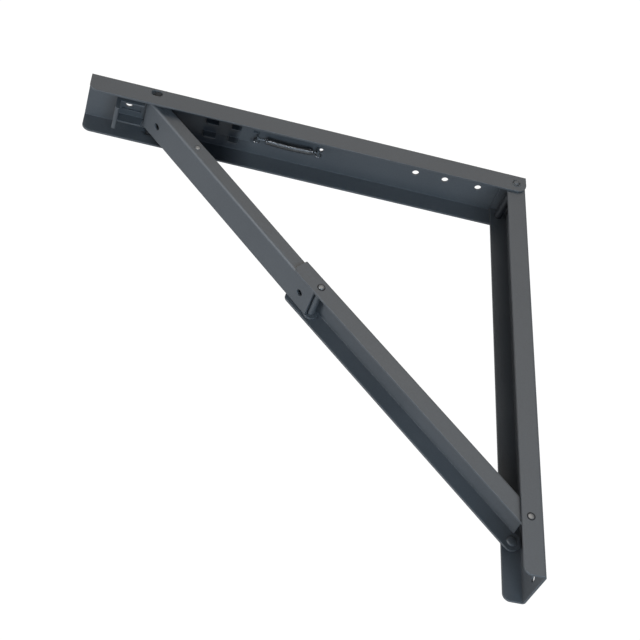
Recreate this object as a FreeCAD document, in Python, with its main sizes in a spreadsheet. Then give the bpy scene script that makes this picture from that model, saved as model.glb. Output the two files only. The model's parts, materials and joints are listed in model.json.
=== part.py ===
import FreeCAD, Part
import Sketcher
import math
import os

# Folding bracket for a drop leaf: a top rail under the leaf, a wall rail and a strut in two
# halves that locks just past its straight line. The frame has the wall face at X = 0, the
# middle of the bracket at Y = 0 and the corner hinge at Z = 0. The top rail runs along -X.

V = FreeCAD.Vector
DOC = FreeCAD.newDocument("DropLeafBracket")

# Driving dimensions in millimetres
DRIVING = {
    "rail_length": 318.0,       # wall face to the free end of the top rail
    "rail_width": 40.0,         # top rail outside
    "rail_depth": 16.2,         # top face to the free edges of the top rail's flanges
    "rail_sheet": 1.5,          # top rail, wall rail and struts
    "rail_corner": 6.0,         # rounded front corners of the flanges
    "bend_radius": 2.0,         # outside radius of every folded edge
    "hinge_setback": 8.0,       # corner hinge to the wall face
    "hinge_below_top": 8.4,     # corner hinge to the table face
    "wall_gap": 0.4,            # top rail's rear end to the wall face
    "side_gap": 0.5,            # between nested flanges
    "stop_gap": 0.2,            # top rail's web to the stop shelf
    "wall_length": 324.2,       # table face to the lower end of the wall rail
    "wall_depth": 14.2,         # wall face to the free edges of the wall rail
    "wall_corner": 5.0,
    "foot_setback": 8.5,        # foot rivet to the wall face
    "foot_inset": 39.3,         # foot rivet above the lower end of the wall rail
    "pivot_inset": 47.0,        # upper pivot to the free end of the top rail
    "pivot_rise": 3.0,          # upper pivot above the corner hinge
    "lock_offset": 2.0,         # knee past the straight line when locked
    "strut_side_gap": 1.5,      # wall rail's flanges to the lower strut's
    "lower_back": 6.8,          # knee and foot line to the outside of the lower web
    "lower_front": 6.4,         # knee and foot line to the free edges
    "lower_overrun": 21.5,      # lower strut beyond the knee
    "lower_foot": 6.2,          # lower strut beyond the foot rivet
    "lower_web_start": 3.3,
    "lower_corner": 4.5,
    "foot_corner": 5.4,
    "upper_back": 5.2,          # pivot and knee line to the outside of the upper web
    "upper_front": 4.8,         # pivot and knee line to the free edges
    "upper_front_top": 3.7,     # the same at the upper pivot
    "upper_taper": 60.0,
    "upper_nose": 3.7,          # upper strut beyond the upper pivot
    "nose_flat": 0.1,           # what the nose's rounding leaves of its end
    "upper_web_lead": 3.2,      # upper web starts before the upper pivot
    "upper_web_end": 0.5,       # upper web stops short of the knee
    "strut_hole": 5.0,
    "strut_hole_inset": 10.8,   # holes in the upper web from each pivot
    "catch_reach": 48.2,        # upper pivot to the catch pin
    "screw_hole": 5.0,
    "screw_front_inset": 29.0,  # front screw hole to the free end of the top rail
    "screw_rear": 30.0,         # the other screw holes of the top rail from the wall face
    "screw_middle": 55.5,
    "screw_inner": 78.0,
    "wall_screw_top": 30.0,     # screw holes of the wall rail below the hinge
    "wall_screw_middle": 55.5,
    "wall_screw_inner": 78.0,
    "wall_screw_end": 8.4,      # lowest screw hole above the wall rail's end
    "slot_length": 8.0,
    "pin_diameter": 5.0,
    "running_gap": 0.05,        # radial play of the pins
    "slot_play": 0.1,           # radial play of the pivot pin in its slots
    "pin_inset": 0.6,           # pivot pin's ends inside the flanges
    "hinge_pin_diameter": 6.0,
    "hinge_rivet_diameter": 4.0,
    "hinge_head_diameter": 6.6,
    "hinge_head_height": 1.3,
    "hinge_rivet_gap": 0.15,    # rivet end to the hinge pin's end
    "knee_head_diameter": 7.4,
    "knee_head_height": 1.2,
    "flush_head_diameter": 7.0,
    "flush_head_height": 0.35,
    "inner_head_height": 1.1,
    "rim_share": 0.6,           # share of a head's height that its chamfer takes
    "catch_diameter": 4.0,
    "catch_head_diameter": 5.6,
    "washer_diameter": 10.0,
    "washer_play": 0.05,
    "clip_diameter": 7.2,
    "clip_sheet": 0.9,
    "clip_play": 0.1,
    "slider_side_gap": 1.5,     # upper strut's flanges to the slider
    "slider_sheet": 1.2,
    "slider_lift": 0.1,         # slider's web to the top rail's web
    "tab_inset": 19.9,          # free end of the top rail to the pull tab's front
    "tab_thickness": 3.0,
    "tab_drop": 9.8,            # pull tab below the corner hinge
    "tab_round": 1.2,
    "slider_front_drop": 2.0,   # front flanges' edges below the corner hinge
    "push_lead": 5.2,           # pushing edge's arm, from the front flanges' lower edges
    "push_step": 0.9,           # along the arm's sloping shoulder
    "push_rise": 0.5,           # arm's lower edge above the pivot pin's axis
    "slider_rear_drop": 0.3,
    "slider_push_gap": 0.1,     # slider's pushing edge to the pivot pin
    "slider_travel": 4.0,       # the slider's window and notch are longer by this
    "window_width": 8.0,
    "window_margin": 2.5,       # slider's window round the front screw hole
    "catch_play": 0.7,          # the rear flanges' notch round the catch pin
    "catch_lead": 9.2,          # rear flanges before the notch
    "catch_land": 7.1,          # rear flanges behind the notch
    "catch_round": 2.4,         # rounded lower corners of the rear flanges
    "rear_inset": 3.0,          # slider's rear part inside its front part's sides
    "tongue_length": 8.8,       # web behind the rear flanges
    "lug_reach": 4.5,           # tongue to the slider's lug
    "lug_width": 6.0,
    "lug_drop": 1.6,            # lugs' lower ends below the spring's axis
    "spring_rise": 3.4,         # spring axis above the corner hinge
    "hook_hole": 1.6,
    "lug_distance": 43.1,       # slider's lug to the top rail's lug
    "spring_front_gap": 6.2,    # slider's lug to the coil
    "spring_rear_gap": 4.4,     # coil to the top rail's lug
    "spring_outside": 5.6,
    "spring_wire": 1.1,
    "spring_turns": 14.0,
    "spring_steps": 12.0,       # straight steps of a turn
    "wire_flats": 6.0,
    "hook_length": 2.0,
    "rail_lug_hole": 3.4,       # hole behind the top rail's lug
    "cut_past": 5.0,            # how far a cut's outline reaches past the sheet
}

SHEET = DOC.addObject("Spreadsheet::Sheet", "Sizes")


class Size:
    """A number together with the text that binds it to the driving dimensions."""

    def __init__(self, value, text):
        self.value = float(value)
        self.text = text

    def join(self, other, sign, value):
        return Size(value, "(" + self.text + sign + other.text + ")")

    def __add__(self, other):
        other = size_of(other)
        return self.join(other, " + ", self.value + other.value)

    def __sub__(self, other):
        other = size_of(other)
        return self.join(other, " - ", self.value - other.value)

    def __mul__(self, other):
        other = size_of(other)
        return self.join(other, " * ", self.value * other.value)

    def __truediv__(self, other):
        other = size_of(other)
        return self.join(other, " / ", self.value / other.value)

    def __neg__(self):
        return Size(-self.value, "(0 - " + self.text + ")")


def size_of(number):
    if isinstance(number, Size):
        return number
    return Size(number, repr(float(number)))


def fill_sheet(table, first_row):
    row = first_row
    for name, number in table.items():
        SHEET.set("A" + str(row), name)
        SHEET.set("B" + str(row), repr(float(number)))
        SHEET.setAlias("B" + str(row), name)
        row += 1
    return row


# Linkage: the knee lies past the straight line by the lock offset, and the lower strut
# stands upright when the bracket is folded with the pivot pin against its free edges.
def linkage():
    d = DRIVING
    hinge = (-d["hinge_setback"], 0.0)
    pivot = (d["pivot_inset"] - d["rail_length"], d["pivot_rise"])
    foot = (-d["foot_setback"], d["hinge_below_top"] - d["wall_length"] + d["foot_inset"])
    reach = math.dist(hinge, pivot)
    rise_angle = math.atan2(pivot[1], hinge[0] - pivot[0])
    edge = max(d["wall_depth"], d["foot_setback"] + d["lower_front"])
    rest_x = edge + d["pin_diameter"] / 2 + d["stop_gap"]
    fold = math.acos((rest_x - d["hinge_setback"]) / reach) + rise_angle
    folded_pivot = (-rest_x, -math.sqrt(reach ** 2 - (rest_x - d["hinge_setback"]) ** 2))
    straight = math.dist(pivot, foot)
    low, high = 0.0, straight
    for step in range(80):
        along = (low + high) / 2
        lower = math.hypot(along, d["lock_offset"])
        upper = math.hypot(straight - along, d["lock_offset"])
        folded_knee = (foot[0], foot[1] + lower)
        if math.dist(folded_knee, folded_pivot) > upper:
            high = along
        else:
            low = along
    u = ((pivot[0] - foot[0]) / straight, (pivot[1] - foot[1]) / straight)
    knee_x = foot[0] + u[0] * along - u[1] * d["lock_offset"]
    knee_z = foot[1] + u[1] * along + u[0] * d["lock_offset"]
    return {
        "lower_length": lower,
        "upper_length": upper,
        "knee_x": knee_x,
        "knee_z": knee_z,
        "lower_angle": math.degrees(math.atan2(knee_z - foot[1], knee_x - foot[0])),
        "upper_angle": math.degrees(math.atan2(knee_z - pivot[1], knee_x - pivot[0])),
        "fold_angle": math.degrees(fold),
    }


LINKS = linkage()
next_row = fill_sheet(DRIVING, 1)
fill_sheet(LINKS, next_row + 1)
DOC.recompute()


def size(name):
    table = DRIVING if name in DRIVING else LINKS
    return Size(table[name], "Sizes." + name)


# Shared places, worked out from the driving dimensions
ZERO = size_of(0)
SHEET_T = size("rail_sheet")
TOP = size("hinge_below_top")
WEB_UNDER = TOP - SHEET_T
RAIL_EDGE = TOP - size("rail_depth")
WALL_WIDTH = size("rail_width") - SHEET_T * 2 - size("side_gap") * 2
SHELF_FRONT = -size("wall_depth")
WALL_END = TOP - size("wall_length")
RAIL_FRONT = -size("rail_length")
HINGE_X = -size("hinge_setback")
PIVOT_X = RAIL_FRONT + size("pivot_inset")
PIVOT_Z = size("pivot_rise")
FOOT_X = -size("foot_setback")
FOOT_Z = WALL_END + size("foot_inset")
LOWER_WIDTH = WALL_WIDTH - SHEET_T * 2 - size("strut_side_gap") * 2
UPPER_WIDTH = LOWER_WIDTH - SHEET_T * 2 - size("side_gap") * 2
SLIDER_WIDTH = UPPER_WIDTH - SHEET_T * 2 - size("slider_side_gap") * 2
PIN_R = size("pin_diameter") / 2
PIN_HOLE_R = PIN_R + size("running_gap")
SLIDER_TOP = WEB_UNDER - size("slider_lift")
SLIDER_UNDER = SLIDER_TOP - size("slider_sheet")
SCREW_FRONT_X = RAIL_FRONT + size("screw_front_inset")
CATCH_X = PIVOT_X + size("catch_reach")
CATCH_HALF = size("catch_diameter") / 2 + size("catch_play")
NOTCH_REAR = CATCH_X + CATCH_HALF + size("slider_travel")
REAR_FLANGE_END = NOTCH_REAR + size("catch_land")
TONGUE_END = REAR_FLANGE_END + size("tongue_length")
SLIDER_LUG_X = TONGUE_END + size("lug_reach")
RAIL_LUG_X = SLIDER_LUG_X + size("lug_distance")
SPRING_Z = size("spring_rise")
PAST = size("cut_past")


# Sketching: every corner, centre and radius is tied to the driving dimensions
def origin_plane(body, role):
    for feature in body.Origin.OriginFeatures:
        if feature.Role == role:
            return feature
    raise RuntimeError("no plane " + role)


def new_body(label):
    body = DOC.addObject("PartDesign::Body", label)
    body.Label = label
    return body


def new_sketch(body, plane, name, offset=None):
    sketch = body.newObject("Sketcher::SketchObject", name)
    sketch.AttachmentSupport = [(origin_plane(body, plane), "")]
    sketch.MapMode = "FlatFace"
    if offset is not None:
        sketch.setExpression("AttachmentOffset.Base.z", offset.text)
    return sketch


def tie(sketch, kind, geometry, point, amount):
    index = sketch.addConstraint(Sketcher.Constraint(kind, -1, 1, geometry, point, amount.value))
    sketch.setExpression("Constraints[" + str(index) + "]", amount.text)


def add_outline(sketch, corners):
    """Closed outline of straight lines; corners are (across, up) pairs of sizes."""
    first = sketch.GeometryCount
    count = len(corners)
    for index in range(count):
        a = corners[index]
        b = corners[(index + 1) % count]
        start = V(a[0].value, a[1].value, 0)
        end = V(b[0].value, b[1].value, 0)
        sketch.addGeometry(Part.LineSegment(start, end), False)
    for index in range(count):
        after = (index + 1) % count
        link = Sketcher.Constraint("Coincident", first + index, 2, first + after, 1)
        sketch.addConstraint(link)
    for index, corner in enumerate(corners):
        tie(sketch, "DistanceX", first + index, 1, corner[0])
        tie(sketch, "DistanceY", first + index, 1, corner[1])


def add_box(sketch, left, right, low, high):
    add_outline(sketch, [(left, low), (right, low), (right, high), (left, high)])


def add_circle(sketch, across, up, radius):
    circle = Part.Circle(V(across.value, up.value, 0), V(0, 0, 1), radius.value)
    index = sketch.addGeometry(circle, False)
    tie(sketch, "DistanceX", index, 3, across)
    tie(sketch, "DistanceY", index, 3, up)
    row = sketch.addConstraint(Sketcher.Constraint("Radius", index, radius.value))
    sketch.setExpression("Constraints[" + str(row) + "]", radius.text)


def pad(body, sketch, name, length):
    """Pad evenly to both sides of the sketch plane."""
    feature = body.newObject("PartDesign::Pad", name)
    feature.Profile = sketch
    feature.Midplane = True
    feature.setExpression("Length", length.text)
    DOC.recompute()
    return feature


def pocket(body, sketch, name, length):
    """Pocket evenly to both sides of the sketch plane."""
    before = body.Shape.Volume
    feature = body.newObject("PartDesign::Pocket", name)
    feature.Profile = sketch
    feature.Midplane = True
    feature.setExpression("Length", length.text)
    DOC.recompute()
    if body.Shape.Volume > before - 0.01:
        raise RuntimeError(name + " cuts nothing")
    return feature


def edges_at(shape, test):
    names = []
    for index, edge in enumerate(shape.Edges):
        if test(edge):
            names.append("Edge" + str(index + 1))
    return names


def near(number, target):
    return abs(number - target) < 0.01


def round_edges(body, name, radius, test):
    feature = body.newObject("PartDesign::Fillet", name)
    base = body.Tip if body.Tip is not feature else feature.BaseFeature
    feature.Base = (base, edges_at(base.Shape, test))
    feature.setExpression("Radius", radius.text)
    DOC.recompute()
    return feature


def long_edge(edge, along, floor):
    """True for a straight edge along X or Z that is longer than the floor."""
    if edge.Curve.TypeId != "Part::GeomLine" or edge.Length < floor:
        return False
    direction = edge.tangentAt(edge.FirstParameter)
    return abs(getattr(direction, along)) > 0.999


def cross_edge(edge, across, up):
    """True for a straight edge along Y that passes through a point of the XZ plane."""
    if not long_edge(edge, "y", 0.2):
        return False
    centre = edge.BoundBox.Center
    return near(centre.x, across.value) and near(centre.z, up.value)


# Top rail: the folded channel under the leaf
def make_top_rail():
    body = new_body("top_rail")
    front = RAIL_FRONT
    rear = -size("wall_gap")
    corner = size("hinge_setback") - size("wall_gap")
    outline = new_sketch(body, "XZ_Plane", "top_rail_outline")
    add_box(outline, front, rear, RAIL_EDGE, TOP)
    pad(body, outline, "top_rail_fold", size("rail_width"))

    inside = new_sketch(body, "XZ_Plane", "top_rail_inside")
    web_end = SHELF_FRONT - size("stop_gap")
    add_outline(inside, [(front - PAST, RAIL_EDGE - PAST), (PAST, RAIL_EDGE - PAST),
                         (PAST, TOP + PAST), (web_end, TOP + PAST),
                         (web_end, WEB_UNDER), (front - PAST, WEB_UNDER)])
    pocket(body, inside, "top_rail_channel", size("rail_width") - SHEET_T * 2)

    round_edges(body, "top_rail_bends", size("bend_radius"),
                lambda e: long_edge(e, "x", size("rail_length").value / 2)
                and near(e.BoundBox.ZMax, TOP.value)
                and near(abs(e.BoundBox.YMax), size("rail_width").value / 2))
    round_edges(body, "top_rail_front_corners", size("rail_corner"),
                lambda e: cross_edge(e, front, RAIL_EDGE))
    round_edges(body, "top_rail_rear_corners", corner,
                lambda e: cross_edge(e, rear, RAIL_EDGE))

    # Lug that holds the spring, and the hole behind it
    lug_rear = RAIL_LUG_X + SHEET_T
    lug = new_sketch(body, "XZ_Plane", "top_rail_lug_outline")
    add_box(lug, RAIL_LUG_X, lug_rear, SPRING_Z - size("lug_drop"), TOP - SHEET_T / 2)
    pad(body, lug, "top_rail_lug", size("lug_width"))
    hole_r = size("rail_lug_hole") / 2
    hole = new_sketch(body, "XY_Plane", "top_rail_lug_hole_outline", TOP)
    add_circle(hole, lug_rear + hole_r, ZERO, hole_r)
    pocket(body, hole, "top_rail_lug_hole", SHEET_T * 4)
    hook = new_sketch(body, "YZ_Plane", "top_rail_hook_outline", RAIL_LUG_X)
    add_circle(hook, ZERO, SPRING_Z, size("hook_hole") / 2)
    pocket(body, hook, "top_rail_hook_hole", SHEET_T * 4)

    # Slots for the pivot pin, holes for the hinge rivets
    slot_r = PIN_R + size("slot_play")
    slot_front = PIVOT_X + slot_r - size("slot_length") + slot_r
    slots = new_sketch(body, "XZ_Plane", "top_rail_slot_outline")
    add_box(slots, slot_front, PIVOT_X, PIVOT_Z - slot_r, PIVOT_Z + slot_r)
    pocket(body, slots, "top_rail_slots", size("rail_width") * 2)
    ends = new_sketch(body, "XZ_Plane", "top_rail_slot_ends")
    add_circle(ends, slot_front, PIVOT_Z, slot_r)
    pocket(body, ends, "top_rail_slot_fronts", size("rail_width") * 2)
    backs = new_sketch(body, "XZ_Plane", "top_rail_slot_backs_outline")
    add_circle(backs, PIVOT_X, PIVOT_Z, slot_r)
    pocket(body, backs, "top_rail_slot_backs", size("rail_width") * 2)
    hinge = new_sketch(body, "XZ_Plane", "top_rail_hinge_outline")
    add_circle(hinge, HINGE_X, ZERO, size("hinge_rivet_diameter") / 2)
    pocket(body, hinge, "top_rail_hinge_holes", size("rail_width") * 2)

    screws = new_sketch(body, "XY_Plane", "top_rail_screw_outline", TOP)
    add_circle(screws, SCREW_FRONT_X, ZERO, size("screw_hole") / 2)
    for name in ("screw_rear", "screw_middle", "screw_inner"):
        add_circle(screws, -size(name), ZERO, size("screw_hole") / 2)
    pocket(body, screws, "top_rail_screw_holes", SHEET_T * 4)
    return body


# Wall rail: its web runs up behind the hinge and folds forward as the stop shelf
def make_wall_rail():
    body = new_body("wall_rail")
    outline = new_sketch(body, "XZ_Plane", "wall_rail_outline")
    add_box(outline, SHELF_FRONT, ZERO, WALL_END, TOP)
    pad(body, outline, "wall_rail_fold", WALL_WIDTH)
    inside = new_sketch(body, "XZ_Plane", "wall_rail_inside")
    add_box(inside, SHELF_FRONT - PAST, -SHEET_T, WALL_END - PAST, WEB_UNDER)
    pocket(body, inside, "wall_rail_channel", WALL_WIDTH - SHEET_T * 2)
    round_edges(body, "wall_rail_bends", size("bend_radius"),
                lambda e: long_edge(e, "z", size("wall_length").value / 2)
                and near(e.BoundBox.XMax, 0)
                and near(abs(e.BoundBox.YMax), WALL_WIDTH.value / 2))
    round_edges(body, "wall_rail_corners", size("wall_corner"),
                lambda e: cross_edge(e, SHELF_FRONT, WALL_END))

    pins = new_sketch(body, "XZ_Plane", "wall_rail_pin_outline")
    add_circle(pins, HINGE_X, ZERO, size("hinge_pin_diameter") / 2)
    add_circle(pins, FOOT_X, FOOT_Z, PIN_R)
    pocket(body, pins, "wall_rail_pin_holes", size("rail_width") * 2)
    screws = new_sketch(body, "YZ_Plane", "wall_rail_screw_outline")
    add_circle(screws, ZERO, WALL_END + size("wall_screw_end"), size("screw_hole") / 2)
    for name in ("wall_screw_top", "wall_screw_middle", "wall_screw_inner"):
        add_circle(screws, ZERO, -size(name), size("screw_hole") / 2)
    pocket(body, screws, "wall_rail_screw_holes", SHEET_T * 4)
    return body


def stand(body, across, up, angle):
    """Turn a strut from its own line along X into place."""
    body.Placement = FreeCAD.Placement(V(0, 0, 0), FreeCAD.Rotation(V(0, -1, 0), 1))
    body.setExpression("Placement.Base.x", across.text)
    body.setExpression("Placement.Base.z", up.text)
    body.setExpression("Placement.Rotation.Angle", angle.text)


# Lower strut, drawn along X from the foot rivet to the knee, web below
def make_lower_strut():
    body = new_body("lower_strut")
    knee = size("lower_length")
    end = knee + size("lower_overrun")
    foot = -size("lower_foot")
    back = -size("lower_back")
    edge = size("lower_front")
    outline = new_sketch(body, "XZ_Plane", "lower_strut_outline")
    add_box(outline, foot, end, back, edge)
    pad(body, outline, "lower_strut_fold", LOWER_WIDTH)
    inside = new_sketch(body, "XZ_Plane", "lower_strut_inside")
    web_start = size("lower_web_start")
    add_outline(inside, [(foot - PAST, back - PAST), (web_start, back - PAST),
                         (web_start, back + SHEET_T), (end + PAST, back + SHEET_T),
                         (end + PAST, edge + PAST), (foot - PAST, edge + PAST)])
    pocket(body, inside, "lower_strut_channel", LOWER_WIDTH - SHEET_T * 2)
    round_edges(body, "lower_strut_bends", size("bend_radius"),
                lambda e: long_edge(e, "x", knee.value / 2) and near(e.BoundBox.ZMin, back.value)
                and near(abs(e.BoundBox.YMax), LOWER_WIDTH.value / 2))
    round_edges(body, "lower_strut_foot_corners", size("foot_corner"),
                lambda e: cross_edge(e, foot, edge))
    round_edges(body, "lower_strut_top_corners", size("lower_corner"),
                lambda e: cross_edge(e, end, edge))
    heel = new_sketch(body, "XZ_Plane", "lower_strut_heel_outline")
    heel_up = back + size("foot_corner")
    heel_end = foot + size("foot_corner")
    add_outline(heel, [(foot - PAST, back - PAST), (heel_end, back - PAST), (heel_end, back),
                       (foot, heel_up), (foot - PAST, heel_up)])
    pocket(body, heel, "lower_strut_heel", LOWER_WIDTH * 2)
    pins = new_sketch(body, "XZ_Plane", "lower_strut_pin_outline")
    add_circle(pins, ZERO, ZERO, PIN_HOLE_R)
    add_circle(pins, knee, ZERO, PIN_R)
    pocket(body, pins, "lower_strut_pin_holes", LOWER_WIDTH * 2)
    stand(body, FOOT_X, FOOT_Z, size("lower_angle"))
    return body


# Upper strut, drawn along X from the pivot pin to the knee, web below
def make_upper_strut():
    body = new_body("upper_strut")
    knee = size("upper_length")
    back = -size("upper_back")
    edge = size("upper_front")
    nose = -size("upper_nose")
    nose_edge = size("upper_front_top")
    outline = new_sketch(body, "XZ_Plane", "upper_strut_outline")
    add_outline(outline, [(nose, back), (knee, back), (knee, edge),
                          (size("upper_taper"), edge), (ZERO, nose_edge), (nose, nose_edge)])
    pad(body, outline, "upper_strut_fold", UPPER_WIDTH)
    round_edges(body, "upper_strut_bends", size("bend_radius"),
                lambda e: long_edge(e, "x", knee.value / 2) and near(e.BoundBox.ZMin, back.value)
                and near(abs(e.BoundBox.YMax), UPPER_WIDTH.value / 2))
    tail = new_sketch(body, "XZ_Plane", "upper_strut_tail_outline")
    add_circle(tail, knee, ZERO, size("upper_back"))
    pad(body, tail, "upper_strut_tail", UPPER_WIDTH)
    trim = new_sketch(body, "XZ_Plane", "upper_strut_trim_outline")
    far = knee + PAST * 2
    add_box(trim, knee - PAST * 2, far, edge, edge + PAST)
    pocket(body, trim, "upper_strut_trim", UPPER_WIDTH * 2)
    inside = new_sketch(body, "XZ_Plane", "upper_strut_inside")
    web_start = -size("upper_web_lead")
    web_end = knee - size("upper_web_end")
    add_outline(inside, [(nose - PAST, back - PAST), (web_start, back - PAST),
                         (web_start, back + SHEET_T), (web_end, back + SHEET_T),
                         (web_end, back - PAST), (far, back - PAST), (far, edge + PAST),
                         (nose - PAST, edge + PAST)])
    pocket(body, inside, "upper_strut_channel", UPPER_WIDTH - SHEET_T * 2)
    round_edges(body, "upper_strut_nose", nose_edge - size("nose_flat"),
                lambda e: cross_edge(e, nose, nose_edge))
    pins = new_sketch(body, "XZ_Plane", "upper_strut_pin_outline")
    add_circle(pins, ZERO, ZERO, PIN_HOLE_R)
    add_circle(pins, knee, ZERO, PIN_HOLE_R)
    add_circle(pins, size("catch_reach"), ZERO, size("catch_diameter") / 2)
    pocket(body, pins, "upper_strut_pin_holes", UPPER_WIDTH * 2)
    holes = new_sketch(body, "XY_Plane", "upper_strut_hole_outline", back)
    add_circle(holes, size("strut_hole_inset"), ZERO, size("strut_hole") / 2)
    add_circle(holes, knee - size("strut_hole_inset"), ZERO, size("strut_hole") / 2)
    pocket(body, holes, "upper_strut_holes", SHEET_T * 4)
    stand(body, PIVOT_X, PIVOT_Z, size("upper_angle"))
    return body


# Release slider: pull tab, front flanges that push the pivot pin, rear flanges that catch
# the strut's catch pin when folded, and a tongue with a lug for the spring
def make_slider():
    body = new_body("release_slider")
    front = RAIL_FRONT + size("tab_inset")
    tab_rear = front + size("tab_thickness")
    push = PIVOT_X - PIN_R - size("slider_push_gap")
    low = -size("slider_front_drop")
    shoulder = push - size("push_lead")
    arm_low = PIVOT_Z + size("push_rise")
    notch_front = CATCH_X - CATCH_HALF
    rear_front = notch_front - size("catch_lead")
    outline = new_sketch(body, "XZ_Plane", "slider_outline")
    add_outline(outline, [(front, low), (shoulder, low), (shoulder + size("push_step"), arm_low),
                          (push, arm_low), (push, SLIDER_UNDER), (rear_front, SLIDER_UNDER),
                          (rear_front, SLIDER_TOP), (front, SLIDER_TOP)])
    pad(body, outline, "slider_fold", SLIDER_WIDTH)
    inside = new_sketch(body, "XZ_Plane", "slider_inside")
    add_box(inside, front - PAST, rear_front + PAST, low - PAST, SLIDER_UNDER)
    pocket(body, inside, "slider_channel", SLIDER_WIDTH - size("slider_sheet") * 2)

    # Narrower rear part: two flanges with the notch between them, and the tongue
    rear_low = -size("slider_rear_drop")
    rear_width = SLIDER_WIDTH - size("rear_inset") * 2
    web_front = rear_front - SHEET_T
    rear = new_sketch(body, "XZ_Plane", "slider_rear_outline")
    add_outline(rear, [(rear_front, rear_low), (notch_front, rear_low),
                       (notch_front, SLIDER_UNDER), (NOTCH_REAR, SLIDER_UNDER),
                       (NOTCH_REAR, rear_low), (REAR_FLANGE_END, rear_low),
                       (REAR_FLANGE_END, SLIDER_UNDER), (TONGUE_END, SLIDER_UNDER),
                       (TONGUE_END, SLIDER_TOP), (web_front, SLIDER_TOP),
                       (web_front, SLIDER_UNDER), (rear_front, SLIDER_UNDER)])
    pad(body, rear, "slider_rear_fold", rear_width)
    hollow = new_sketch(body, "XZ_Plane", "slider_rear_inside")
    add_box(hollow, web_front, REAR_FLANGE_END + PAST, rear_low - PAST, SLIDER_UNDER)
    pocket(body, hollow, "slider_rear_channel", rear_width - size("slider_sheet") * 2)
    round_edges(body, "slider_rear_round", size("catch_round"),
                lambda e: cross_edge(e, rear_front, rear_low)
                or cross_edge(e, REAR_FLANGE_END, rear_low))

    tab = new_sketch(body, "XZ_Plane", "slider_tab_outline")
    add_box(tab, front, tab_rear, -size("tab_drop"), SLIDER_TOP)
    pad(body, tab, "slider_tab", SLIDER_WIDTH)
    round_edges(body, "slider_tab_round", size("tab_round"),
                lambda e: cross_edge(e, front, -size("tab_drop"))
                or cross_edge(e, tab_rear, -size("tab_drop")))

    # Spring lug at the end of the tongue
    lug_front = SLIDER_LUG_X - size("slider_sheet")
    neck = TONGUE_END - SHEET_T
    lug_low = SPRING_Z - size("lug_drop")
    lug = new_sketch(body, "XZ_Plane", "slider_lug_outline")
    add_outline(lug, [(neck, SLIDER_UNDER), (lug_front, SLIDER_UNDER), (lug_front, lug_low),
                      (SLIDER_LUG_X, lug_low), (SLIDER_LUG_X, SLIDER_TOP), (neck, SLIDER_TOP)])
    pad(body, lug, "slider_lug", size("lug_width"))
    hook = new_sketch(body, "YZ_Plane", "slider_hook_outline", lug_front)
    add_circle(hook, ZERO, SPRING_Z, size("hook_hole") / 2)
    pocket(body, hook, "slider_hook_hole", size("slider_sheet") * 4)

    # Window over the front screw hole
    half = size("window_width") / 2
    window = new_sketch(body, "XY_Plane", "slider_window_outline", SLIDER_TOP)
    reach = size("screw_hole") / 2 + size("window_margin")
    rear = SCREW_FRONT_X + reach + size("slider_travel")
    add_box(window, SCREW_FRONT_X - reach, rear, -half, half)
    pocket(body, window, "slider_window", size("slider_sheet") * 4)
    return body


# Pins, rivets, washers and clips are turned about an axis along Y
def turned(label, steps):
    """Revolve a stepped profile; steps are (start, end, radius) along the axis."""
    body = new_body(label)
    profile = new_sketch(body, "XY_Plane", label + "_profile")
    corners = [(ZERO, steps[0][0])]
    for start, end, radius in steps:
        corners += [(radius, start), (radius, end)]
    corners.append((ZERO, steps[-1][1]))
    add_outline(profile, corners)
    feature = body.newObject("PartDesign::Revolution", label + "_turned")
    feature.Profile = profile
    feature.ReferenceAxis = (profile, ["V_Axis"])
    feature.Angle = 360.0
    DOC.recompute()
    return body


def place(body, across, up):
    body.setExpression("Placement.Base.x", across.text)
    body.setExpression("Placement.Base.z", up.text)


def bore(body, radius, label):
    hole = new_sketch(body, "XZ_Plane", label + "_bore_outline")
    add_circle(hole, ZERO, ZERO, radius)
    pocket(body, hole, label + "_bore", size("rail_width") * 4)


def mirrored_steps(steps, side):
    if side > 0:
        return steps
    return [(-end, -start, radius) for start, end, radius in reversed(steps)]


def head_rim(body, name, at, radius, height):
    """Chamfer the rim of a head at a place along the axis."""
    rim = edges_at(body.Tip.Shape, lambda e: e.Curve.TypeId == "Part::GeomCircle"
                   and near(e.Curve.Radius, radius.value)
                   and near(e.BoundBox.Center.y, at.value))
    base = body.Tip
    feature = body.newObject("PartDesign::Chamfer", name)
    feature.Base = (base, rim)
    feature.setExpression("Size", (height * size("rim_share")).text)
    DOC.recompute()
    return feature


def make_pins():
    bodies = []
    half_wall = WALL_WIDTH / 2
    hinge = turned("hinge_pin", [(-half_wall, half_wall, size("hinge_pin_diameter") / 2)])
    place(hinge, HINGE_X, ZERO)
    bodies.append(hinge)

    head = size("knee_head_height")
    half = LOWER_WIDTH / 2
    head_r = size("knee_head_diameter") / 2
    knee = turned("knee_pin", [(-half - head, -half, head_r), (-half, half, PIN_R),
                               (half, half + head, head_r)])
    head_rim(knee, "knee_pin_near_rim", -half - head, head_r, head)
    head_rim(knee, "knee_pin_far_rim", half + head, head_r, head)
    place(knee, size("knee_x"), size("knee_z"))
    bodies.append(knee)

    half = size("rail_width") / 2 - size("pin_inset")
    pivot = turned("pivot_pin", [(-half, half, PIN_R)])
    place(pivot, PIVOT_X, PIVOT_Z)
    bodies.append(pivot)

    half = UPPER_WIDTH / 2
    head = size("flush_head_height")
    head_r = size("catch_head_diameter") / 2
    catch = turned("catch_pin", [(-half - head, -half, head_r),
                                 (-half, half, size("catch_diameter") / 2),
                                 (half, half + head, head_r)])
    angle = math.radians(LINKS["upper_angle"])
    reach = size("catch_reach")
    place(catch, PIVOT_X + reach * math.cos(angle), PIVOT_Z + reach * math.sin(angle))
    bodies.append(catch)
    return bodies


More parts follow.
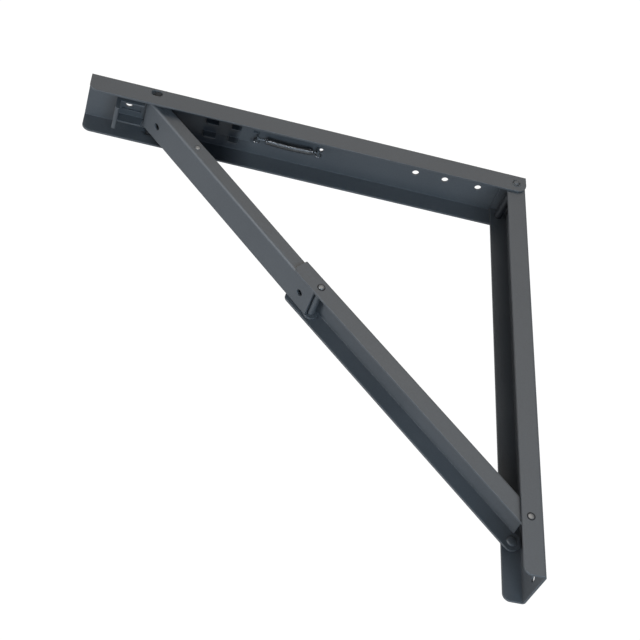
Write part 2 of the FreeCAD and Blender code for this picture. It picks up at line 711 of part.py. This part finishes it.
def make_side_pieces(side, word):
    bodies = []
    flange = size("rail_width") / 2
    half_wall = WALL_WIDTH / 2
    head_r = size("hinge_head_diameter") / 2
    head_end = flange + size("hinge_head_height")
    steps = [(half_wall + size("hinge_rivet_gap"), flange, size("hinge_rivet_diameter") / 2),
             (flange, head_end, head_r)]
    rivet = turned("hinge_rivet_" + word, mirrored_steps(steps, side))
    head_rim(rivet, "hinge_rivet_" + word + "_rim", head_end if side > 0 else -head_end,
             head_r, size("hinge_head_height"))
    place(rivet, HINGE_X, ZERO)
    bodies.append(rivet)

    inner = LOWER_WIDTH / 2 - SHEET_T - size("washer_play")
    flush_r = size("flush_head_diameter") / 2
    steps = [(inner - size("inner_head_height"), inner, flush_r), (inner, half_wall, PIN_R),
             (half_wall, half_wall + size("flush_head_height"), flush_r)]
    foot = turned("foot_rivet_" + word, mirrored_steps(steps, side))
    place(foot, FOOT_X, FOOT_Z)
    bodies.append(foot)

    play = size("washer_play")
    steps = [(LOWER_WIDTH / 2 + play, half_wall - SHEET_T - play,
              size("washer_diameter") / 2)]
    washer = turned("foot_washer_" + word, mirrored_steps(steps, side))
    bore(washer, PIN_HOLE_R, "foot_washer_" + word)
    place(washer, FOOT_X, FOOT_Z)
    bodies.append(washer)

    clip_end = UPPER_WIDTH / 2 - SHEET_T - size("clip_play")
    steps = [(clip_end - size("clip_sheet"), clip_end, size("clip_diameter") / 2)]
    clip = turned("pivot_clip_" + word, mirrored_steps(steps, side))
    bore(clip, PIN_R, "pivot_clip_" + word)
    place(clip, PIVOT_X, PIVOT_Z)
    bodies.append(clip)
    return bodies


# Return spring: one wire from hook to hook, swept along straight steps to keep its faces few
def make_spring():
    d = DRIVING
    wire = d["spring_wire"] / 2
    mean = d["spring_outside"] / 2 - wire
    start = SLIDER_LUG_X.value + d["spring_front_gap"] + wire
    end = RAIL_LUG_X.value - d["spring_rear_gap"] - wire
    front_tip = SLIDER_LUG_X.value - d["slider_sheet"] - d["hook_length"] / 2 - wire
    rear_tip = RAIL_LUG_X.value + d["rail_sheet"] + d["hook_length"] / 2 + wire
    axis_z = d["spring_rise"]
    steps = round(d["spring_turns"] * d["spring_steps"])
    path = [V(front_tip, 0, axis_z - d["hook_length"]), V(front_tip, 0, axis_z),
            V(start - mean, 0, axis_z)]
    for index in range(steps + 1):
        turn = 2 * math.pi * index / d["spring_steps"]
        along = start + (end - start) * index / steps
        path.append(V(along, mean * math.sin(turn), axis_z - mean * math.cos(turn)))
    path += [V(end + mean, 0, axis_z), V(rear_tip, 0, axis_z),
             V(rear_tip, 0, axis_z - d["hook_length"])]
    flats = round(d["wire_flats"])
    section = []
    for index in range(flats + 1):
        turn = 2 * math.pi * index / flats
        section.append(path[0] + V(wire * math.cos(turn), wire * math.sin(turn), 0))
    spine = Part.makePolygon(path)
    spring = DOC.addObject("Part::Feature", "return_spring")
    spring.Label = "return_spring"
    spring.Shape = spine.makePipeShell([Part.makePolygon(section)], True, False, 1)
    return spring


BODIES = [make_top_rail(), make_wall_rail(), make_lower_strut(), make_upper_strut(),
          make_slider()]
BODIES += make_pins()
for side, word in ((-1, "near"), (1, "far")):
    BODIES += make_side_pieces(side, word)
BODIES.append(make_spring())
DOC.recompute()

for item in DOC.Objects:
    if "Invalid" in item.State or "Error" in item.State:
        raise RuntimeError(item.Name + " failed: " + str(item.State))
for body in BODIES:
    if body.Shape.isNull() or not body.Shape.isValid() or not body.Shape.Solids:
        raise RuntimeError(body.Label + " has no valid solid")

os.makedirs("parts", exist_ok=True)
for body in BODIES:
    body.Shape.exportStep("parts/" + body.Label + ".step")
    print(body.Label, len(body.Shape.Solids), round(body.Shape.Volume, 1))
for name, number in LINKS.items():
    print(name, round(number, 4))
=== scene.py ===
import json
import math

import bmesh
import bpy
from mathutils import Matrix, Vector


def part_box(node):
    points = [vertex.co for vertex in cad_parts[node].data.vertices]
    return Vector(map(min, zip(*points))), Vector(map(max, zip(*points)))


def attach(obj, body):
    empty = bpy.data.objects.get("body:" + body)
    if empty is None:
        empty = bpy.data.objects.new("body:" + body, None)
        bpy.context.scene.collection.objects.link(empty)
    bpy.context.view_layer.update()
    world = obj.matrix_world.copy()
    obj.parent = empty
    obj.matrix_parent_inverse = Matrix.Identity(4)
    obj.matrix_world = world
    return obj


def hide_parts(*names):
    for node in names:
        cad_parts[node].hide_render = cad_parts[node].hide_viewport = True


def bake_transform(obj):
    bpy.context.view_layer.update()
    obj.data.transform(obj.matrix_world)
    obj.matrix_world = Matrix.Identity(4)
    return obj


# Folding bracket for a drop leaf, seen from below and in front, as it hangs on its wall.
# Lengths are in metres. The corner hinge lies along Y at Z = 0 and the wall face is X = 0.

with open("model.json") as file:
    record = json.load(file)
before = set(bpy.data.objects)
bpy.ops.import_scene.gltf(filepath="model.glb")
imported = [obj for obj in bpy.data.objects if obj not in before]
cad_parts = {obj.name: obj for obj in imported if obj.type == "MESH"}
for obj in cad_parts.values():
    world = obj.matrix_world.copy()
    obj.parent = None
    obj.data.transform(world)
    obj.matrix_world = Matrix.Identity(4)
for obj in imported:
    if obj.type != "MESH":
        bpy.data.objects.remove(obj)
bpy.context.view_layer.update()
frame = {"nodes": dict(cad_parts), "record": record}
nodes = frame["nodes"]


# Camera at the photograph's angle
CAMERA_PLACE = (-0.3004, -0.6783, -0.7078)
CAMERA_RIGHT = (0.96180, -0.26862, 0.05287)
CAMERA_FORWARD = (0.17749, 0.75883, 0.62664)
SENSOR_MILLIMETRES = 36.0
FRAME_PIXELS = 640.0
FOCAL_PIXELS = 1378.14


def make_camera():
    right = Vector(CAMERA_RIGHT).normalized()
    forward = Vector(CAMERA_FORWARD).normalized()
    up = right.cross(forward).normalized()
    right = forward.cross(up)
    turn = Matrix((right, up, -forward)).transposed()
    data = bpy.data.cameras.new("camera")
    data.sensor_width = SENSOR_MILLIMETRES
    data.lens = SENSOR_MILLIMETRES * FOCAL_PIXELS / FRAME_PIXELS
    data.clip_start = 0.02
    data.clip_end = 50.0
    camera = bpy.data.objects.new("camera", data)
    camera.matrix_world = Matrix.Translation(Vector(CAMERA_PLACE)) @ turn.to_4x4()
    bpy.context.scene.collection.objects.link(camera)
    bpy.context.scene.camera = camera


# Materials
NOISE_MIDDLE = (0.3, 0.7)
TURNING_LIKENESS = (0.995, 0.8)
EDGE_RADIUS = 0.0006
EDGE_SAMPLES = 6

PAINT_FILM = ((0.098, 0.100, 0.104), (0.112, 0.113, 0.116))
PAINT_SPECK = (0.135, 0.137, 0.142)
# Paler edge colour: partly paint rubbed thin, partly a painted highlight along bends and cut
# edges
PAINT_WORN_AND_HIGHLIT = (0.21, 0.215, 0.225)
PAINT_ROUGHNESS = (0.46, 0.56)
# Painted shade: the darker colour laid where the strut and rail shade the inside
SHADE_COLOUR = (0.008, 0.010, 0.014)
PEEL_STRENGTH = 0.10
PEEL_HEIGHT = 0.00012

FLOOR_COLOUR = (0.86, 0.86, 0.85, 1.0)


class Look:
    """A material's node tree with short words for adding and joining nodes."""

    def __init__(self, name):
        self.material = bpy.data.materials.new(name)
        self.material.use_nodes = True
        self.tree = self.material.node_tree
        self.shader = self.tree.nodes["Principled BSDF"]

    def add(self, kind, **settings):
        node = self.tree.nodes.new(kind)
        for key, value in settings.items():
            setattr(node, key, value)
        return node

    def join(self, out, into):
        self.tree.links.new(out, into)

    def drive(self, out, name):
        """Joins an output to the shader's socket of that name."""
        self.join(out, self.shader.inputs[name])

    def set(self, **values):
        """Sets the shader's own sockets; an underscore stands for a blank."""
        for key, value in values.items():
            self.shader.inputs[key.replace("_", " ")].default_value = value

    def place(self):
        """The point on the object, in metres."""
        return self.add("ShaderNodeTexCoord").outputs["Object"]

    def noise(self, place, scale, detail, roughness=0.5):
        node = self.add("ShaderNodeTexNoise")
        node.inputs["Scale"].default_value = scale
        node.inputs["Detail"].default_value = detail
        node.inputs["Roughness"].default_value = roughness
        self.join(place, node.inputs["Vector"])
        return node.outputs["Fac"]

    def remap(self, value, source, target):
        """The value, from the source range to the target range, clamped."""
        node = self.add("ShaderNodeMapRange")
        node.inputs["From Min"].default_value = source[0]
        node.inputs["From Max"].default_value = source[1]
        node.inputs["To Min"].default_value = target[0]
        node.inputs["To Max"].default_value = target[1]
        self.join(value, node.inputs["Value"])
        return node.outputs["Result"]

    def spread(self, value, low, high):
        """A noise, whose values keep to the middle, stretched from low to high."""
        return self.remap(value, NOISE_MIDDLE, (low, high))

    def calculate(self, operation, first, second=None):
        """One step of arithmetic with an output and an output or a number."""
        node = self.add("ShaderNodeMath", operation=operation)
        self.join(first, node.inputs[0])
        if isinstance(second, float):
            node.inputs[1].default_value = second
        elif second is not None:
            self.join(second, node.inputs[1])
        return node.outputs["Value"]

    def mix(self, share, first, second):
        """A colour from the first to the second, each a colour or an output."""
        node = self.add("ShaderNodeMix", data_type="RGBA")
        for name, value in (("A", first), ("B", second)):
            target = [s for s in node.inputs if s.name == name and s.type == "RGBA"][0]
            if isinstance(value, tuple):
                target.default_value = (*value, 1.0)
            else:
                self.join(value, target)
        factor = [s for s in node.inputs if s.name == "Factor" and s.type == "VALUE"][0]
        self.join(share, factor)
        return [s for s in node.outputs if s.type == "RGBA"][0]

    def inside(self, place, box):
        """1 within the box, 0 outside, with a soft border and a slightly uneven middle."""
        axes = self.add("ShaderNodeSeparateXYZ")
        self.join(place, axes.inputs[0])
        share = self.spread(self.noise(place, scale=90.0, detail=2.0), 0.88, 1.0)
        for axis, (low, high, soft) in zip("XYZ", box):
            offset = self.calculate("SUBTRACT", axes.outputs[axis], (low + high) / 2)
            away = self.calculate("ABSOLUTE", offset)
            reach = (high - low) / 2
            fade = self.remap(away, (reach, reach - soft), (0.0, 1.0))
            share = self.calculate("MULTIPLY", share, fade)
        return share

    def soft_normal(self):
        """The surface's normal with its edges rounded by the edge radius."""
        bevel = self.add("ShaderNodeBevel", samples=EDGE_SAMPLES)
        bevel.inputs["Radius"].default_value = EDGE_RADIUS
        return bevel.outputs["Normal"]

    def edge_mask(self):
        """Near 1 where the surface turns within the edge radius, 0 on flats."""
        likeness = self.add("ShaderNodeVectorMath", operation="DOT_PRODUCT")
        self.join(self.soft_normal(), likeness.inputs[0])
        self.join(self.add("ShaderNodeNewGeometry").outputs["Normal"], likeness.inputs[1])
        return self.remap(likeness.outputs["Value"], TURNING_LIKENESS, (0.0, 1.0))


def powder_coat(name, painted_shade=None):
    """Dark grey powder coat: fine orange peel, cloudy film and slightly paler edges, partly paint
    rubbed thin and partly a painted highlight.
    Inside the shade box, given as (low, high, soft border) along each axis, it is darker: painted
    shade."""
    look = Look(name)
    place = look.place()
    cloud = look.noise(place, scale=24.0, detail=4.0)
    film = look.mix(look.spread(cloud, 0.0, 1.0), *PAINT_FILM)
    grain = look.noise(place, scale=900.0, detail=2.0, roughness=0.6)
    speckled = look.mix(look.spread(grain, 0.0, 0.35), film, PAINT_SPECK)
    # Paler edges: partly rubbed paint, partly a painted highlight where the edges catch the light
    wear_and_highlight_share = look.spread(look.noise(place, scale=160.0, detail=3.0), 0.15, 0.6)
    worn_and_highlit_share = look.calculate("MULTIPLY", look.edge_mask(), wear_and_highlight_share)
    colour = look.mix(worn_and_highlit_share, speckled, PAINT_WORN_AND_HIGHLIT)
    # Painted shade: darker inside the box
    if painted_shade:
        colour = look.mix(look.inside(place, painted_shade), colour, SHADE_COLOUR)
    look.drive(colour, "Base Color")
    look.drive(look.spread(cloud, *PAINT_ROUGHNESS), "Roughness")
    peel = look.add("ShaderNodeBump")
    peel.inputs["Strength"].default_value = PEEL_STRENGTH
    peel.inputs["Distance"].default_value = PEEL_HEIGHT
    look.join(look.noise(place, scale=1300.0, detail=2.0), peel.inputs["Height"])
    look.join(look.soft_normal(), peel.inputs["Normal"])
    look.drive(peel.outputs["Normal"], "Normal")
    return look.material


def mottled(name, scale, detail, colours, roughness, **settings):
    """A steel whose colour and roughness drift together between two values."""
    look = Look(name)
    cloud = look.noise(look.place(), scale, detail)
    look.drive(look.mix(look.spread(cloud, 0.0, 1.0), *colours), "Base Color")
    look.drive(look.spread(cloud, *roughness), "Roughness")
    look.set(**settings)
    return look.material


def spring_wire():
    """Drawn spring wire: dark bright steel, finely mottled."""
    return mottled("spring_wire", 240.0, 3.0, ((0.15, 0.155, 0.165), (0.22, 0.225, 0.235)),
                   (0.26, 0.36), Metallic=1.0)


def zinc_steel():
    """Zinc-plated steel: pale, mottled, half bright."""
    return mottled("zinc_steel", 420.0, 4.0, ((0.16, 0.165, 0.17), (0.24, 0.245, 0.25)),
                   (0.40, 0.55), Metallic=1.0)


def black_steel():
    """Nearly black, matt steel with a faint mottle: painted shade in the gaps and grooves round
    the pins and in the pivot slot.
    """
    return mottled("black_steel", 500.0, 3.0, ((0.012, 0.012, 0.013), (0.030, 0.030, 0.032)),
                   (0.55, 0.75), Specular_IOR_Level=0.3)


def pale_floor():
    look = Look("floor")
    look.set(Base_Color=FLOOR_COLOUR, Roughness=0.8)
    return look.material


def add_piece(name, form, materials):
    """A shown object of that name from a mesh being edited, which ends here."""
    bmesh.ops.recalc_face_normals(form, faces=form.faces)
    mesh = bpy.data.meshes.new(name)
    form.to_mesh(mesh)
    form.free()
    piece = bpy.data.objects.new(name, mesh)
    bpy.context.scene.collection.objects.link(piece)
    for material in materials:
        mesh.materials.append(material)
    return piece


# Turned pins and rivets, each about an axis along Y
TURNED_SIDES = 40
SHARP_ANGLE = math.radians(50.0)
RING_RISE = 0.00006
DOME_PROFILE = ((0.0, 1.0), (0.3, 0.97), (0.55, 0.89), (0.75, 0.76), (0.9, 0.58))
DOME_RIM = 0.36
SHANK_RADIUS = 0.0025
DOME, RING, SHANK = range(3)

KNEE_HEAD = {"radius": 0.0021, "height": 0.0012, "ring": 0.0028}
CATCH_HEAD = {"radius": 0.0018, "height": 0.00035, "ring": 0.0023}
CATCH_SHANK_RADIUS = 0.0020
FOOT_HEAD = {"radius": 0.0019, "height": 0.00035, "ring": 0.0028}
FOOT_SEAT = 0.0011
FOOT_INNER_RADIUS = 0.0035
FOOT_INNER_TOP = 0.0029
FOOT_INNER_EDGE = 0.0005

# Hinge rivet: (radius, rise) in millimetres, its groove between the two limits
HINGE_RISE = 0.0013
HINGE_SHANK_RADIUS = 0.002
HINGE_GROOVE = (2.0, 2.5)
HINGE_PROFILE = ((0.0, 1.3), (0.7, 1.25), (1.3, 1.08), (1.8, 0.8), (2.1, 0.4), (2.2, 0.2),
                 (2.6, 0.2), (2.75, 0.5), (3.0, 0.6), (3.2, 0.5), (3.3, 0.3), (3.3, 0.0))

# Pivot pin: the chamfer and dished middle of its near end, and the head over the far slot
PIVOT_CHAMFER = 0.0003
PIVOT_DISH = (0.0016, 0.0019)
PIVOT_SEAT = 0.02003
PIVOT_HEAD = (0.00535, 0.0050)
PIVOT_HEAD_RISE = (0.0007, 0.001)


def make_turned(node, body, outline, materials):
    """Revolve (along, radius, material index) points; a point's material runs to the next."""
    low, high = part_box(node)
    x = (low[0] + high[0]) / 2
    z = (low[2] + high[2]) / 2
    form = bmesh.new()
    rings = []
    for along, radius, _ in outline:
        count = TURNED_SIDES if radius > 0.0 else 1
        ring = []
        for index in range(count):
            turn = 2.0 * math.pi * index / TURNED_SIDES
            ring.append(form.verts.new((x + radius * math.cos(turn), along,
                                        z + radius * math.sin(turn))))
        rings.append(ring)
    for (_, _, material), ring, following in zip(outline, rings, rings[1:]):
        for step in range(TURNED_SIDES):
            after = (step + 1) % TURNED_SIDES
            corners = (ring[step % len(ring)], ring[after % len(ring)],
                       following[after % len(following)], following[step % len(following)])
            face = form.faces.new(list(dict.fromkeys(corners)))
            face.material_index = material
            face.smooth = True
    piece = add_piece(node + "_turned", form, materials)
    piece.data.set_sharp_from_angle(angle=SHARP_ANGLE)
    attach(piece, body)
    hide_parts(node)


def domed_head(face, side, radius, height, ring):
    """A dome on a thin ring, from its middle out to the sheet's face."""
    points = [(face + side * height * rise, radius * share, DOME) for share, rise in DOME_PROFILE]
    return points + [(face + side * height * DOME_RIM, radius, RING),
                     (face + side * RING_RISE, radius, RING),
                     (face + side * RING_RISE, ring, RING),
                     (face, ring, RING)]


def turned_back(points):
    """The points in reverse, each band keeping its material."""
    places = [(along, radius) for along, radius, _ in points][::-1]
    bands = [index for _, _, index in points][:-1][::-1] + [DOME]
    return [(along, radius, index) for (along, radius), index in zip(places, bands)]


def ends(node, side):
    """Where the node's outer and inner ends stand along Y; side is -1 near, 1 far."""
    low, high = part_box(node)
    return (low[1], high[1]) if side < 0 else (high[1], low[1])


def through_pin(node, head, radius, band):
    """Two domed heads and the shank between them, which has the material of the band."""
    near, far = ends(node, -1)
    near_face = near + head["height"]
    far_face = far - head["height"]
    shank = [(near_face, radius, band), (far_face, radius, RING)]
    return (domed_head(near_face, -1, **head) + shank
            + turned_back(domed_head(far_face, 1, **head)))


def make_pins(finishes):
    paint = finishes["dark_paint"]
    bright = finishes["zinc_steel"]
    # The black finish is painted shade: it colours the rings, grooves and slot end that lie in
    # shade
    black = finishes["black_steel"]

    # Knee pin with two peened heads, the shank dark between the struts; the black rings round the
    # heads are painted shade
    outline = through_pin("knee_pin", KNEE_HEAD, SHANK_RADIUS, SHANK)
    make_turned("knee_pin", "lower", outline, (bright, black, paint))

    # Catch pin with small flush heads in the paint
    outline = through_pin("catch_pin", CATCH_HEAD, CATCH_SHANK_RADIUS, RING)
    make_turned("catch_pin", "upper", outline, (bright, paint))

    # Foot rivets: a flush bright head outside, a broad one inside the strut; the black ring round
    # the outer head is painted shade
    for node, side in (("foot_rivet_near", -1), ("foot_rivet_far", 1)):
        outer, inner = ends(node, side)
        face = outer - side * FOOT_HEAD["height"]
        seat = inner + side * FOOT_SEAT
        stem = [(face, SHANK_RADIUS, SHANK), (seat, SHANK_RADIUS, SHANK),
                (seat, FOOT_INNER_RADIUS, SHANK),
                (seat - side * FOOT_INNER_EDGE, FOOT_INNER_RADIUS, SHANK),
                (inner, FOOT_INNER_TOP, SHANK), (inner, 0.0, SHANK)]
        outline = domed_head(face, side, **FOOT_HEAD) + stem
        make_turned(node, "wall", outline, (bright, black, paint))

    # Hinge rivets: a dome in the paint finish, in a groove coloured black as painted shade,
    # within a raised rim
    for node, side in (("hinge_rivet_near", -1), ("hinge_rivet_far", 1)):
        outer, inner = ends(node, side)
        face = outer - side * HINGE_RISE
        outline = []
        for radius, rise in HINGE_PROFILE:
            grooved = HINGE_GROOVE[0] < radius < HINGE_GROOVE[1]
            outline.append((face + side * rise / 1000.0, radius / 1000.0,
                            RING if grooved else DOME))
        outline += [(face, HINGE_SHANK_RADIUS, DOME), (inner, HINGE_SHANK_RADIUS, DOME),
                    (inner, 0.0, DOME)]
        make_turned(node, "top", outline, (paint, black))

    # Pivot pin: its near end deep in the slot and coloured black as painted shade, a flat head in
    # the paint finish over the far slot
    near, _ = ends("pivot_pin", -1)
    end = near + PIVOT_CHAMFER
    shade_band, painted_band = 0, 1
    outline = [(end, 0.0, shade_band), (end, PIVOT_DISH[0], shade_band),
               (near, PIVOT_DISH[1], shade_band),
               (near, SHANK_RADIUS - PIVOT_CHAMFER, shade_band),
               (end, SHANK_RADIUS, shade_band), (PIVOT_SEAT, SHANK_RADIUS, painted_band),
               (PIVOT_SEAT, PIVOT_HEAD[0], painted_band),
               (PIVOT_SEAT + PIVOT_HEAD_RISE[0], PIVOT_HEAD[0], painted_band),
               (PIVOT_SEAT + PIVOT_HEAD_RISE[1], PIVOT_HEAD[1], painted_band),
               (PIVOT_SEAT + PIVOT_HEAD_RISE[1], 0.0, painted_band)]
    make_turned("pivot_pin", "top", outline, (black, paint))


# Tension spring: one wire, its coil nearly closed and a little slack between its hooks
SPRING_HEIGHT = 0.0034
COIL_START, COIL_END = -0.1893, -0.1559
COIL_RADIUS = 0.0023
COIL_TURNS = 38
COIL_SAG = 0.0009
STEPS_PER_TURN = 20
LEAD_STEPS = 10
LEAD_LENGTH = 0.0016
HOOK_RADIUS = 0.0021
HOOK_MIDDLES = (-0.1967, -0.1513)
HOOK_DEGREES = 270.0
HOOK_STEPS = 20
WIRE_RADIUS = 0.0004
WIRE_SIDES = 8


def hook_points(middle, side):
    """A hook's loop from its top, where the wire comes in, round to its open end."""
    points = []
    for index in range(HOOK_STEPS):
        turn = math.radians(90.0 + side * HOOK_DEGREES * index / (HOOK_STEPS - 1))
        points.append((middle + HOOK_RADIUS * math.cos(turn), 0.0,
                       SPRING_HEIGHT - HOOK_RADIUS + HOOK_RADIUS * math.sin(turn)))
    return points


def coil_points():
    """The coil, with a lead at each end that winds down to its axis."""
    points = []
    total = COIL_TURNS * STEPS_PER_TURN
    for index in range(-LEAD_STEPS, total + LEAD_STEPS + 1):
        turn = 2.0 * math.pi * index / STEPS_PER_TURN
        inside = min(max(index, 0), total) / total
        past = min(index, 0) + max(index - total, 0)
        grown = 1.0 - abs(past) / LEAD_STEPS
        radius = COIL_RADIUS * grown * grown * (3.0 - 2.0 * grown)
        along = COIL_START + (COIL_END - COIL_START) * inside + LEAD_LENGTH * past / LEAD_STEPS
        middle = SPRING_HEIGHT - COIL_SAG * math.sin(math.pi * inside)
        points.append((along, radius * math.sin(turn), middle - radius * math.cos(turn)))
    return points


def make_spring(material):
    front, rear = HOOK_MIDDLES
    points = hook_points(front, 1)[::-1] + coil_points() + hook_points(rear, -1)
    path = [Vector(point) for point in points]
    form = bmesh.new()
    rings = []
    across = Vector((0.0, 1.0, 0.0))
    for index, point in enumerate(path):
        before = path[max(index - 1, 0)]
        after = path[min(index + 1, len(path) - 1)]
        way = (after - before).normalized()
        across = (across - way * across.dot(way)).normalized()
        upward = way.cross(across)
        ring = []
        for step in range(WIRE_SIDES):
            turn = 2.0 * math.pi * step / WIRE_SIDES
            ring.append(form.verts.new(point + across * (WIRE_RADIUS * math.cos(turn))
                                       + upward * (WIRE_RADIUS * math.sin(turn))))
        rings.append(ring)
    for ring, following in zip(rings, rings[1:]):
        for step in range(WIRE_SIDES):
            other = (step + 1) % WIRE_SIDES
            face = form.faces.new((ring[step], ring[other], following[other], following[step]))
            face.smooth = True
    form.faces.new(rings[0])
    form.faces.new(rings[-1])
    spring = add_piece("return_spring_coil", form, (material,))
    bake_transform(spring)
    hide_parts("return_spring")


# Stage
FLOOR_HALF_SIZE = 5.0
FLOOR_HEIGHT = -1.45
LIGHT_AIM = (-0.16, 0.0, -0.15)
WHITE = (1.0, 1.0, 1.0)


def make_stage():
    """A pale floor, whose bounced light is kept off the bracket."""
    mesh = bpy.data.meshes.new("floor")
    form = bmesh.new()
    bmesh.ops.create_grid(form, x_segments=1, y_segments=1, size=FLOOR_HALF_SIZE)
    form.to_mesh(mesh)
    form.free()
    floor = bpy.data.objects.new("floor", mesh)
    floor.location = (0.0, 0.0, FLOOR_HEIGHT)
    floor.data.materials.append(pale_floor())
    floor.visible_diffuse = False
    bpy.context.scene.collection.objects.link(floor)


def make_light(name, place, size, power, colour, diffuse=True, gloss=True):
    """A round soft lamp aimed at the bracket; its power is in watts."""
    data = bpy.data.lights.new(name, "AREA")
    data.shape = "DISK"
    data.size = size
    data.energy = power
    data.color = colour
    light = bpy.data.objects.new(name, data)
    light.location = place
    way = Vector(LIGHT_AIM) - Vector(place)
    light.rotation_euler = way.to_track_quat("-Z", "Y").to_euler()
    light.visible_camera = False
    light.visible_diffuse = diffuse
    light.visible_glossy = gloss
    bpy.context.scene.collection.objects.link(light)


def make_world():
    """White to the camera, a bright backdrop in reflections and a dim cool fill elsewhere."""
    world = bpy.data.worlds.new("studio")
    bpy.context.scene.world = world
    world.use_nodes = True
    tree = world.node_tree

    def background(colour, strength):
        node = tree.nodes.new("ShaderNodeBackground")
        node.inputs["Color"].default_value = (*colour, 1.0)
        node.inputs["Strength"].default_value = strength
        return node.outputs["Background"]

    def choose(ray, otherwise, chosen):
        node = tree.nodes.new("ShaderNodeMixShader")
        tree.links.new(path.outputs[ray], node.inputs["Fac"])
        tree.links.new(otherwise, node.inputs[1])
        tree.links.new(chosen, node.inputs[2])
        return node.outputs["Shader"]

    path = tree.nodes.new("ShaderNodeLightPath")
    fill = background(colour=(0.76, 0.89, 1.0), strength=0.13)
    backdrop = background(colour=WHITE, strength=0.48)
    seen = background(colour=WHITE, strength=1.05)
    light = choose("Is Glossy Ray", fill, backdrop)
    sky = choose("Is Camera Ray", light, seen)
    tree.links.new(sky, tree.nodes["World Output"].inputs["Surface"])


def make_lights():
    make_light("key", (0.04, -1.75, 0.5), size=1.3, power=11.8, colour=(1.0, 0.92, 0.82))
    make_light("low_left", (-1.9, 0.1, -1.2), size=1.2, power=22.5, colour=(0.84, 0.92, 1.0))
    make_light("under", (0.03, -0.7, -1.38), size=1.2, power=18.5, colour=(0.58, 0.79, 1.0))
    make_light("top", (-0.1, 0.3, 6.0), size=4.0, power=330.0, colour=(1.0, 0.99, 0.97),
               gloss=False)
    make_light("rim", (-1.74, -1.12, -0.69), size=0.45, power=24.0, colour=WHITE,
               diffuse=False)
    bpy.context.scene.view_settings.view_transform = "Standard"
    bpy.context.scene.view_settings.look = "None"


make_camera()
make_stage()
make_world()
make_lights()

# Finish of each solid, by the record's slots
finishes = {"dark_paint": powder_coat("dark_paint"),
            "spring_wire": spring_wire(),
            "zinc_steel": zinc_steel(),
            "black_steel": black_steel()}
slot_of = {part["node"]: part["material_slot"] for part in frame["record"]["subparts"]}
for name, piece in nodes.items():
    piece.data.materials.clear()
    piece.data.materials.append(finishes[slot_of[name]])

# Painted shade: darker colour on the slider's rear, the rail's inside behind the strut, and the
# corner pin, where the strut and rails shade them
everywhere = (-1.0, 1.0, 0.001)
painted_shade = {"release_slider": ((-0.266, -0.208, 0.004), everywhere, everywhere),
           "top_rail": ((-0.276, -0.197, 0.022), (-0.0192, 0.0192, 0.0001),
                        (-0.0090, 0.0078, 0.0001)),
           "hinge_pin": (everywhere, everywhere, everywhere)}
for name, box in painted_shade.items():
    nodes[name].data.materials[0] = powder_coat(name + "_greased", box)

make_pins(finishes)
make_spring(finishes["spring_wire"])
